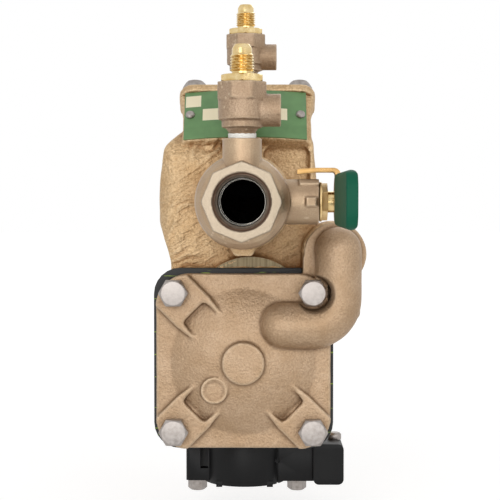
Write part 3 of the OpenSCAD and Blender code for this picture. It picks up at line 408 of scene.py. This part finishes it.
# painted shade: the thread inside the mouth is coloured dark brown for the shade it sits in
threadBronze = {**valveBronze, "light": "#6b503d", "dark": "#553d2d", "sand": "#432f22", "crest": 0.1,
                "metal": 0.2, "rough": (0.5, 0.65), "faced": None}
milledBronze = {"light": "#6e634e", "dark": "#564b39", "rough": 0.4, "lineMm": 0.9, "runMm": 30,
                "lineSpan": (0.35, 0.65), "lineStrength": 0.1, "lineDeep": 0.2}
brass = {"light": "#e6d09f", "dark": "#d1b276", "cloudMm": 3, "rough": (0.16, 0.28),
         # painted shade: a darker brass laid into the grooves of the threads
         "groove": {"colour": "#96691f", "reachMm": 1.6, "span": (0.3, 0.85), "film": 0.8}}
# painted light: a lighter copy of the brass for the packing nuts, making up for the light they lack beside
# the grip
glandBrass = {**brass, "light": "#f3d9a2", "dark": "#e3c184", "rough": (0.26, 0.4), "metal": 0.5}
zinc = {"light": "#ada6a1", "dark": "#8e8782", "cloudMm": 2.0, "rough": (0.34, 0.52)}
yellowZinc = {"light": "#b3905f", "dark": "#9a7747", "cloudMm": 5, "rough": (0.28, 0.42)}
chrome = {"light": "#e2e4e6", "dark": "#d6d8da", "cloudMm": 8, "rough": (0.05, 0.1), "boreShade": boreShadeChrome}
chromeLip = {"light": "#c8c3b9", "dark": "#b9b4aa", "cloudMm": 8, "rough": (0.16, 0.22)}
wire = {"light": "#b4b6b8", "dark": "#9a9c9e", "cloudMm": 4, "rough": (0.25, 0.35)}
ptfe = {"colour": "#e9e8e2", "grainMm": 0.5, "grainStrength": 0.2, "rough": 0.55, "ior": 1.35}
rubber = {"colour": "#161616", "grainMm": 0.6, "grainStrength": 0.2, "rough": 0.55, "ior": 1.45}
clothRubber = {**rubber, "thread": {"colour": "#7f9634", "longMm": 14, "thinMm": 1.12,
                                    "span": (0.645, 0.675)}}
vinyl = {"colour": "#14523d", "grainMm": 3.0, "grainStrength": 0.08, "rough": 0.5, "ior": 1.25,
         "specular": 0.3}
nylon = {"colour": "#09090a", "grainMm": 0.7, "grainStrength": 0.12, "rough": 0.42, "ior": 1.45,
         "specular": 0.25}
acetal = {"colour": "#d9d4c4", "grainMm": 0.8, "grainStrength": 0.1, "rough": 0.45, "ior": 1.48}
# panels: left and right across the plate, then low and high up its slope, in mm
plate = {"light": "#668d5b", "dark": "#5b8051", "cream": "#efe4c4", "rubMm": 6, "rough": 0.42, "lean": 37,
         "footMm": 107, "panels": [(-30.3, -22.3, 35.2, 42.7), (-21.3, 22.2, 25.7, 33.4)]}

slotMaterial = {
    "cast_bronze": castBronze("sand-cast bronze", bronze),
    "cover_bronze": castBronze("shot-blasted bronze", coverBronze),
    "valve_bronze": castBronze("tumbled bronze casting", valveBronze),
    "yellow_brass": plainMetal("turned yellow brass", brass),
    "zinc_steel": plainMetal("zinc-plated steel", zinc),
    "yellow_zinc": plainMetal("yellow zinc-plated strip", yellowZinc),
    "chrome_ball": plainMetal("chrome-plated ball", chrome),
    "spring_steel": plainMetal("drawn spring wire", wire),
    "white_ptfe": mouldedSkin("pressed white PTFE", ptfe),
    "black_rubber": mouldedSkin("moulded black rubber", rubber),
    "green_vinyl": mouldedSkin("dipped green vinyl", vinyl),
    "green_plate": printedPlate("green enamelled aluminium", plate),
    "black_plastic": mouldedSkin("moulded black nylon", nylon),
    "cream_acetal": mouldedSkin("moulded cream acetal", acetal),
}
cockMaterial = castBronze("rough bronze casting", cockBronze)
threadMaterial = castBronze("bronze thread with painted shade", threadBronze)
milledMaterial = milledFace("milled bronze", milledBronze)
lipMaterial = plainMetal("polished chrome lip", chromeLip)
nodeMaterial = {
    **{"test_cock_%d_body" % number: cockMaterial for number in cockNumbers},
    "relief_diaphragm": mouldedSkin("cloth-backed rubber", clothRubber),
    "packing_nuts": plainMetal("gland brass painted lighter", glandBrass),
}
print("materials:", len(bpy.data.materials))

for node, holder in frame["nodes"].items():
    holder.data.materials.clear()
    holder.data.materials.append(materialOfNode(node))


# Castings: the CAD solid remeshed and smoothed, so that its edges run over like a casting's

coverSkin = {"voxelMm": 0.8, "rounds": 3, "rippleMm": 0.04, "rippleSizeMm": 7, "most": 120000}
valveSkin = {"voxelMm": 0.45, "rounds": 2, "rippleMm": 0.02, "rippleSizeMm": 6, "most": 160000}
cockSkin = {"voxelMm": 0.38, "rounds": 2, "rippleMm": 0.05, "rippleSizeMm": 2.4, "most": 80000}
gripSkin = {"voxelMm": 0.5, "rounds": 5, "rippleMm": 0.0, "most": 60000}
castings = {
    "main_body": {"voxelMm": 0.95, "rounds": 3, "rippleMm": 0.12, "rippleSizeMm": 9, "most": 195000,
                  "folds": True},
    "relief_cover": {"voxelMm": 0.62, "rounds": 5, "rippleMm": 0.05, "rippleSizeMm": 7, "most": 195000},
    "first_check_cover": {**coverSkin, "guide": {"x": 1.5, "y": 107, "body": "first_poppet"}},
    "second_check_cover": {**coverSkin, "guide": {"x": 1.5, "y": 197, "body": "second_poppet"}},
    "inlet_valve_body": valveSkin,
    "outlet_valve_body": valveSkin,
    "inlet_lever_grip": gripSkin,
    "outlet_lever_grip": gripSkin,
    **{"test_cock_%d_body" % number: cockSkin for number in cockNumbers},
}
relaxShare = 0.5
rippleDraw = {"count": 14, "seed": 7}
skinFolds = {
    "depthMm": 1.0, "pitchMm": 4.8, "slant": 28, "restLevel": 0.35,
    "sway": 1.1, "swayMm": 11, "swayTurn": 0.12, "bend": 0.9, "bendMm": 16,
    "least": 0.35, "patchMm": 22, "patchSpan": (-0.5, 0.6), "waveCount": 9, "bendSeed": 3, "patchSeed": 5,
    # fades in mm: across, along the line, at the foot, at the top and round the neck
    "sideMm": (-8, 8), "backMm": (100, 112), "footMm": (-46, -34), "topMm": (30, 38), "neckMm": (21, 26),
    "facing": (0.2, 0.7),
}
guideRoom = {"reachMm": 6.5, "stepMm": 0.4, "facing": (0.3, 0.8)}


def mouldFolds(points, normals):
    # ridges across a slant, bent by slow waves, on the side of the front face away from the lever;
    # they fade towards the neck, towards the back and where the skin turns away from the front
    folds = skinFolds
    x, y, z = points.T / mm
    slant = math.radians(folds["slant"])
    along = x * math.cos(slant) + z * math.sin(slant)
    across = z * math.cos(slant) - x * math.sin(slant)
    bend = folds["sway"] * np.sin(along / folds["swayMm"] + folds["swayTurn"] * across)
    bend += folds["bend"] * waves(points, folds["bendMm"], folds["waveCount"], folds["bendSeed"])
    ridge = 1 - np.abs(np.sin(np.pi * (across / folds["pitchMm"] + bend)))
    patch = waves(points, folds["patchMm"], folds["waveCount"], folds["patchSeed"])
    strength = folds["least"] + (1 - folds["least"]) * eased(patch, *folds["patchSpan"])
    side = 1 - eased(x, *folds["sideMm"])
    front = eased(-normals[:, 1], *folds["facing"]) * (1 - eased(y, *folds["backMm"]))
    level = eased(z, *folds["footMm"]) * (1 - eased(z, *folds["topMm"]))
    clear = eased(np.hypot(x, z), *folds["neckMm"])
    return (ridge - folds["restLevel"]) * strength * side * front * level * clear * folds["depthMm"] * mm


def freedGuide(points, normals, guide):
    # a relaxed bore closes a little, so the wall that faces the poppet's stem steps back from its axis
    axis = jointAxis[guide["body"]]
    arm = points - np.array([guide["x"], guide["y"], 0]) * mm
    radial = arm - (arm @ axis)[:, None] * axis
    far = np.linalg.norm(radial, axis=1)
    out = radial / np.maximum(far, 1e-9)[:, None]
    facing = eased(-(normals * out).sum(axis=1), *guideRoom["facing"])
    return out * (facing * (far < guideRoom["reachMm"] * mm) * guideRoom["stepMm"] * mm)[:, None]


def castSkin(node, settings):
    # remesh on a grid of voxels, relax, then move each point along its normal by the ripple waves
    piece = newPiece(node + "_casting", mergedCopy(node))
    remesh = piece.modifiers.new("voxels", "REMESH")
    remesh.mode = "VOXEL"
    remesh.voxel_size = settings["voxelMm"] * mm
    relax = piece.modifiers.new("relax", "SMOOTH")
    relax.factor = relaxShare
    relax.iterations = settings["rounds"]
    mesh = applyModifiers(piece)
    if settings["rippleMm"]:
        points = readPoints(mesh)
        normals = readNormals(mesh)
        lift = waves(points, settings["rippleSizeMm"], **rippleDraw) * settings["rippleMm"] * mm
        if "folds" in settings:
            lift += mouldFolds(points, normals)
        points += normals * lift[:, None]
        if "guide" in settings:
            points += freedGuide(points, normals, settings["guide"])
        writePoints(mesh, points)
    triangles = sum(len(face.vertices) - 2 for face in mesh.polygons)
    if triangles > settings["most"]:
        thin = piece.modifiers.new("thin", "DECIMATE")
        thin.ratio = settings["most"] / triangles
        mesh = applyModifiers(piece)
    mesh.shade_smooth()
    dress(piece, materialOfNode(node), bodyOfNode(node))
    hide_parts(node)
    print("casting", node, len(mesh.polygons))


for node, settings in castings.items():
    castSkin(node, settings)


# Machined, pressed and moulded pieces: the CAD solid with broken edges, widths in mm

brokenEdges = {
    "check_cover_bolts": 0.35, "relief_cover_bolts": 0.35, "nameplate_rivets": 0.2,
    "flood_sensor_bolts": 0.3, "flood_sensor_terminal": 0.3, "inlet_lever": 0.5, "outlet_lever": 0.5,
    "inlet_lever_nut": 0.4, "outlet_lever_nut": 0.4, "packing_nuts": 0.3, "flood_sensor_housing": 0.8,
    "inlet_valve_tailpiece": 0.4, "outlet_valve_tailpiece": 0.4, "relief_diaphragm": 0.4,
    **{"test_cock_%d_stem" % number: 0.15 for number in cockNumbers},
    "nameplate": 0.2,
}
edgeFinish = {"segments": 2, "sharpFrom": 28, "smoothUpTo": 32}


def edgeBroken(node, widthMm):
    # every edge sharper than an angle gets a small round
    piece = newPiece(node + "_finished", mergedCopy(node))
    bevel = piece.modifiers.new("edges", "BEVEL")
    bevel.width = widthMm * mm
    bevel.segments = edgeFinish["segments"]
    bevel.limit_method = "ANGLE"
    bevel.angle_limit = math.radians(edgeFinish["sharpFrom"])
    smoothByAngle(applyModifiers(piece), edgeFinish["smoothUpTo"])
    dress(piece, materialOfNode(node), bodyOfNode(node))
    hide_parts(node)


for node, widthMm in brokenEdges.items():
    edgeBroken(node, widthMm)
print("machined pieces:", len(brokenEdges))


# Springs: a smoothed copy of each coil takes the CAD node's place; it is not split between the moving piece
# and the casting

springs = {"first_check_spring": "first_poppet", "second_check_spring": "second_poppet",
           "relief_spring": "relief_spindle"}
coilSmoothUpTo = 60


def closingSpring(node):
    # a copy of the coil with its material, smoothed by angle and baked where it stands
    piece = newPiece(node + "_coil", mergedCopy(node))
    piece.data.materials.clear()
    piece.data.materials.append(materialOfNode(node))
    smoothByAngle(piece.data, coilSmoothUpTo)
    points = readPoints(piece.data)
    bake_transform(piece)
    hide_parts(node)


for node, mover in springs.items():
    closingSpring(node)
print("springs:", len(springs))


# Turned brass and bronze with real threads

def ringFaces(rows, columns):
    # quads between neighbouring stations, closed round the axis and from the last station to the first
    a = np.arange(rows)[:, None] * columns + np.arange(columns)[None, :]
    b = np.roll(a, -1, axis=1)
    return np.stack([a, b, np.roll(b, -1, axis=0), np.roll(a, -1, axis=0)], axis=2).reshape(-1, 4)


def turnedGrid(profile, segments, pitchMm):
    # stations of radius and height carried round the axis; a station's flats cut it to a hexagon
    # and its thread depth sinks a helical V that turns once per pitch
    radius, height, flats, depth = np.array(profile, float).T
    turn = np.arange(segments) * 2 * np.pi / segments
    hexagon = 0.5 / np.cos((turn + np.pi / 6) % (np.pi / 3) - np.pi / 6)
    ring = np.repeat(radius[:, None], segments, axis=1)
    ring = np.where(flats[:, None] > 0, np.minimum(ring, flats[:, None] * hexagon[None, :]), ring)
    phase = (height[:, None] / pitchMm - turn[None, :] / (2 * np.pi)) % 1
    ring = ring - depth[:, None] * (1 - np.abs(2 * phase - 1))
    level = np.repeat(height[:, None], segments, axis=1)
    points = np.stack([ring * np.cos(turn), ring * np.sin(turn), level], axis=2)
    return points.reshape(-1, 3), ringFaces(*ring.shape)


def raised(outline, base, flats=0.0):
    # an outline's (radius, height) points as stations above a base, with no thread
    return [(radius, base + height, flats, 0.0) for radius, height in outline]


def stations(a, b, count, depth=0.0):
    # evenly spaced stations between two (radius, height) ends
    return [(*(np.array(a) * (1 - s) + np.array(b) * s), 0.0, depth) for s in np.linspace(0, 1, count)]


def meshPiece(name, points, faces):
    # points in mm and their faces as a mesh with its doubles merged and its faces turned outwards
    mesh = bpy.data.meshes.new(name)
    mesh.from_pydata((points * mm).tolist(), [], faces.tolist())
    weld(mesh, gridWeld, outward=True)
    return newPiece(name, mesh)


# outlines in mm of radius and height: hexagon and neck above the plug, nose from the top down
flare = {"plugR": 6.05, "plugL": 6.7, "boreR": 2.4, "boreEdge": 0.4, "height": 23.9, "hexFlats": 18.8,
         "segments": 96, "smoothUpTo": 34,
         "hexagon": [(10.3, 0), (10.85, 0.5), (10.85, 2.7), (9.5, 3.3)],
         "neck": [(5.2, 3.35), (4.7, 3.8), (4.7, 4.7)],
         "runIn": (4.9, 4.9, 5.5), "runInRows": 4,  # radius at its foot, then its foot and top
         "threadR": 5.55, "depth": 0.7, "pitch": 1.27, "threadRows": 46, "threadFoot": 5.6,
         "threadTop": -5.0,
         "nose": [(4.75, -4.5), (4.6, -4.2), (4.6, -2.0), (3.6, -0.3), (3.3, 0), (2.7, 0)]}


def flareAdapter(number):
    # plug, hexagon, neck, thread, nose, then back down the bore, measured up from the plug's foot
    node = "test_cock_%d_adapter" % number
    low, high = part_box(node)
    foot = np.array([(low[0] + high[0]) / 2, (low[1] + high[1]) / 2, low[2]]) / mm
    seat, top, threadR = flare["plugL"], flare["height"], flare["threadR"]
    runInR, runInFoot, runInTop = flare["runIn"]
    profile = raised([(flare["boreR"], 0), (flare["plugR"], 0), (flare["plugR"], seat)], 0)
    profile += raised(flare["hexagon"], seat, flare["hexFlats"])
    profile += raised(flare["neck"], seat)
    profile += stations((runInR, seat + runInFoot), (threadR, seat + runInTop), flare["runInRows"])
    profile += stations((threadR, seat + flare["threadFoot"]), (threadR, top + flare["threadTop"]),
                        flare["threadRows"], flare["depth"])
    profile += raised(flare["nose"] + [(flare["boreR"], -flare["boreEdge"])], top)
    points, faces = turnedGrid(profile, flare["segments"], flare["pitch"])
    piece = meshPiece("flare_adapter_%d" % number, points + foot, faces)
    smoothByAngle(piece.data, flare["smoothUpTo"])
    dress(piece, slotMaterial["yellow_brass"], rootBody)
    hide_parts(node)


for number in cockNumbers:
    flareAdapter(number)
print("flare adapters:", len(cockNumbers))

pipe = {"wallR": 13.25, "mouthR": 13.1, "crestR": 12.1, "depth": 1.1, "pitch": 1.814, "segments": 96,
        "lipY": 0.15, "chamferY": 1.2, "chamferRows": 5, "threadY": 1.3, "endY": 12.6, "threadRows": 76,
        "smoothUpTo": 40}


def portThread(name, mouthY, way):
    # sleeve lining the mouth: a chamfer, then a helical V that stands in from the wall
    root = pipe["crestR"] + pipe["depth"]
    chamferR = pipe["crestR"] + pipe["depth"] / 2
    profile = raised([(pipe["wallR"], pipe["lipY"])], 0)
    profile += stations((pipe["mouthR"], pipe["lipY"]), (chamferR, pipe["chamferY"]), pipe["chamferRows"])
    profile += stations((root, pipe["threadY"]), (root, pipe["endY"]), pipe["threadRows"], pipe["depth"])
    profile += raised([(pipe["wallR"], pipe["endY"])], 0)
    points, faces = turnedGrid(profile, pipe["segments"], pipe["pitch"])
    points = np.stack([points[:, 0], mouthY + way * points[:, 2], points[:, 1]], axis=1)
    piece = meshPiece(name, points, faces)
    smoothByAngle(piece.data, pipe["smoothUpTo"])
    dress(piece, threadMaterial, rootBody)


portThread("inlet_pipe_thread", mounts["inlet_port"][1], 1)
portThread("outlet_pipe_thread", mounts["outlet_port"][1], -1)
print("pipe threads: 2")

ballLip = {"ringR": 10.72, "wireR": 0.22, "reachMm": 10.98, "turns": 96, "sides": 12}


def ballLips(name, ball):
    # the rounded edge at each end of the ball's bore: a thin ring whose section is a circle
    low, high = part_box(ball)
    middle = (low[1] + high[1]) / 2 / mm
    turn = np.arange(ballLip["turns"]) * 2 * np.pi / ballLip["turns"]
    side = np.arange(ballLip["sides"]) * 2 * np.pi / ballLip["sides"]
    radius = ballLip["ringR"] + ballLip["wireR"] * np.cos(side)[:, None] + 0 * turn[None, :]
    level = ballLip["wireR"] * np.sin(side)[:, None] + 0 * turn[None, :]
    ends = [np.stack([radius * np.cos(turn), middle + reach + level, radius * np.sin(turn)], axis=2)
            for reach in (-ballLip["reachMm"], ballLip["reachMm"])]
    points = np.concatenate(ends).reshape(-1, 3)
    faces = ringFaces(*radius.shape)
    piece = meshPiece(name, points, np.concatenate([faces, faces + radius.size]))
    piece.data.shade_smooth()
    dress(piece, lipMaterial, bodyOfNode(ball))


ballLips("inlet_ball_lips", "inlet_ball")
ballLips("outlet_ball_lips", "outlet_ball")
print("ball lips: 4")


# Seal tape wound on the test cocks' threads

tape = {"innerR": 5.95, "outerR": 6.35, "heightMm": 2.1, "belowPortMm": 34.5, "liftMm": 0.02,
        "ragMm": 0.3, "ragWaves": (2, 24), "ragShare": 0.25, "foldMm": 0.12, "foldRows": 9, "foldTurns": 3,
        "segments": 120, "rows": 8, "backRows": 3, "seed": 19, "smoothUpTo": 50}


def tapeBands():
    # for each cock a band with a torn upper edge: height and radius waver round the turn
    turn = np.arange(tape["segments"]) * 2 * np.pi / tape["segments"]
    level = np.concatenate([np.linspace(0, 1, tape["rows"]), np.linspace(1, 0, tape["backRows"])])[:, None]
    front = np.arange(len(level))[:, None] < tape["rows"]
    fold = tape["foldMm"] * np.sin(tape["foldRows"] * level * np.pi + tape["foldTurns"] * turn[None, :])
    radius = np.where(front, tape["outerR"] + fold, tape["innerR"])
    bands = []
    for number in cockNumbers:
        draw = np.random.default_rng(tape["seed"] + number)
        rag = sum(draw.normal() * np.sin(k * turn + draw.uniform(0, fullTurn)) / k ** 0.5
                  for k in range(*tape["ragWaves"])) * tape["ragShare"]
        height = level * (tape["heightMm"] + tape["ragMm"] * np.clip(rag, -1, 1)[None, :]) + tape["liftMm"]
        foot = mounts["test_port_%d" % number] - (0, 0, tape["belowPortMm"])
        bands.append(np.stack([radius * np.cos(turn), radius * np.sin(turn), height], axis=2) + foot)
    faces = [ringFaces(*radius.shape) + count * radius.size for count in range(len(bands))]
    piece = meshPiece("seal_tape", np.concatenate(bands).reshape(-1, 3), np.concatenate(faces))
    smoothByAngle(piece.data, tape["smoothUpTo"])
    dress(piece, slotMaterial["white_ptfe"], rootBody)
    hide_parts("thread_tape")


tapeBands()
print("seal tape bands:", len(cockNumbers))


# Milled face above the relief valve's flange

lens = {"centreX": 3.5, "centreZ": -57.7, "discR": 29.9, "faceY": 79.42, "lowZ": -35.5, "thick": 0.3,
        "count": 60, "smoothUpTo": 30}


def milledLens():
    # the part of a disc above a level line: an arc on top, a straight edge below, closed to a thin sliver
    half = math.acos((lens["lowZ"] - lens["centreZ"]) / lens["discR"])
    angle = np.linspace(-half, half, lens["count"])
    x = lens["centreX"] + lens["discR"] * np.sin(angle)
    arc = lens["centreZ"] + lens["discR"] * np.cos(angle)
    foot = np.full_like(x, lens["lowZ"])
    back = lens["faceY"] + lens["thick"]
    rows = [(arc, back), (arc, lens["faceY"]), (foot, lens["faceY"]), (foot, back)]
    points = np.concatenate([np.stack([x, np.full_like(x, y), z], axis=1) for z, y in rows])
    a = np.arange(len(rows))[:, None] * lens["count"] + np.arange(lens["count"] - 1)[None, :]
    b = np.roll(a, -1, axis=0)
    faces = np.stack([a, a + 1, b + 1, b], axis=2).reshape(-1, 4)
    piece = meshPiece("milled_flange_face", points, faces)
    smoothByAngle(piece.data, lens["smoothUpTo"])
    dress(piece, milledMaterial, rootBody)


milledLens()
print("milled face: 1")


# Stage, light and camera

# metres and watts; floorShare of what the camera sees of the floor glows, the rest shows the shadow
studio = {"aim": (0.0, 0.08, -0.03), "world": 0.5, "paper": "#f4f4f4", "paperRough": 0.9,
          "floorHalf": 6.0, "floorGapMm": 12, "floorShare": 0.4, "floorGlow": (1.6, 1.9),
          "floorReach": (0.4, 2.5)}
lamps = {
    "front key": {"place": (-0.5, -1.35, 0.6), "size": 1.0, "power": 6},
    "right fill": {"place": (0.8, -1.15, 0.3), "size": 1.0, "power": 4.5},
    "low bounce": {"place": (-0.1, -1.0, -0.13), "size": 0.7, "power": 4},
    "back rim": {"place": (0.4, 1.5, 1.0), "size": 1.2, "power": 4},
}
# in pixels of a picture this wide: the point where lines along the flow meet, and the focal length
photo = {"width": 500.0, "vanish": (260.0, 198.0), "focal": 1350.0, "eyeMm": (8.2, -600.0, 1.8),
         "sensorMm": 36.0, "nearM": 0.01}


def backdropRays(tree):
    # 1 for the rays that should see the white backdrop: from the camera, off metal and through glass
    path = addNode(tree, "LightPath").node.outputs
    larger = {"operation": "MAXIMUM"}
    seen = addNode(tree, "Math", larger, [path["Is Camera Ray"], path["Is Transmission Ray"]])
    return addNode(tree, "Math", larger, [seen, path["Is Glossy Ray"]])


def paleBackground():
    world = bpy.data.worlds.new("white sweep")
    bpy.context.scene.world = world
    world.use_nodes = True
    tree = world.node_tree
    strength = addNode(tree, "MapRange", None, [backdropRays(tree), 0.0, 1.0, studio["world"], 1.0])
    feed(tree, tree.nodes["Background"].inputs, {"Color": "#ffffff", "Strength": strength})


def paleFloor():
    # white paper under the object that keeps the object's shadow
    half = studio["floorHalf"]
    level = cadBox[0][2] - studio["floorGapMm"] * mm
    mesh = bpy.data.meshes.new("floor")
    corners = [(-half, -half, level), (half, -half, level), (half, half, level), (-half, half, level)]
    mesh.from_pydata(corners, [], [(0, 1, 2, 3)])
    floor = newPiece("floor", mesh)
    material, tree, shader, place = startMaterial("white paper sweep")
    feed(tree, shader, {"Base Color": studio["paper"], "Roughness": studio["paperRough"]})
    # the glow grows with the distance from the object, as the lamps' light on the floor falls off
    far = addNode(tree, "VectorMath", {"operation": "LENGTH"}, [place], "Value")
    strength = addNode(tree, "MapRange", None, [far, *studio["floorReach"], *studio["floorGlow"]])
    glow = addNode(tree, "Emission", None, {"Strength": strength})
    share = addNode(tree, "Math", {"operation": "MULTIPLY"}, [backdropRays(tree), studio["floorShare"]])
    paper = tree.nodes["Principled BSDF"].outputs[0]
    surface = addNode(tree, "MixShader", None, [share, paper, glow])
    feed(tree, tree.nodes["Material Output"].inputs, {"Surface": surface})
    floor.data.materials.append(material)


def softLight(name, settings):
    lamp = bpy.data.lights.new(name, "AREA")
    lamp.shape = "DISK"
    lamp.size = settings["size"]
    lamp.energy = settings["power"]
    holder = newPiece(name, lamp)
    holder.location = settings["place"]
    look = Vector(studio["aim"]) - Vector(settings["place"])
    holder.rotation_euler = look.to_track_quat("-Z", "Y").to_euler()


def photoCamera():
    # the photo's eye, turned so that lines along the flow meet at the same point of the picture
    camera = newPiece("camera", bpy.data.cameras.new("camera"))
    camera.data.sensor_width = photo["sensorMm"]
    camera.data.lens = photo["sensorMm"] * photo["focal"] / photo["width"]
    camera.data.clip_start = photo["nearM"]
    camera.location = [v * mm for v in photo["eyeMm"]]
    middle = photo["width"] / 2
    look = Vector(((middle - photo["vanish"][0]) / photo["focal"], 1.0,
                   (photo["vanish"][1] - middle) / photo["focal"]))
    camera.rotation_euler = look.to_track_quat("-Z", "Y").to_euler()
    bpy.context.scene.camera = camera


paleBackground()
paleFloor()
for name, settings in lamps.items():
    softLight(name, settings)
photoCamera()
bpy.context.scene.view_settings.view_transform = "Standard"
print("stage and camera set")
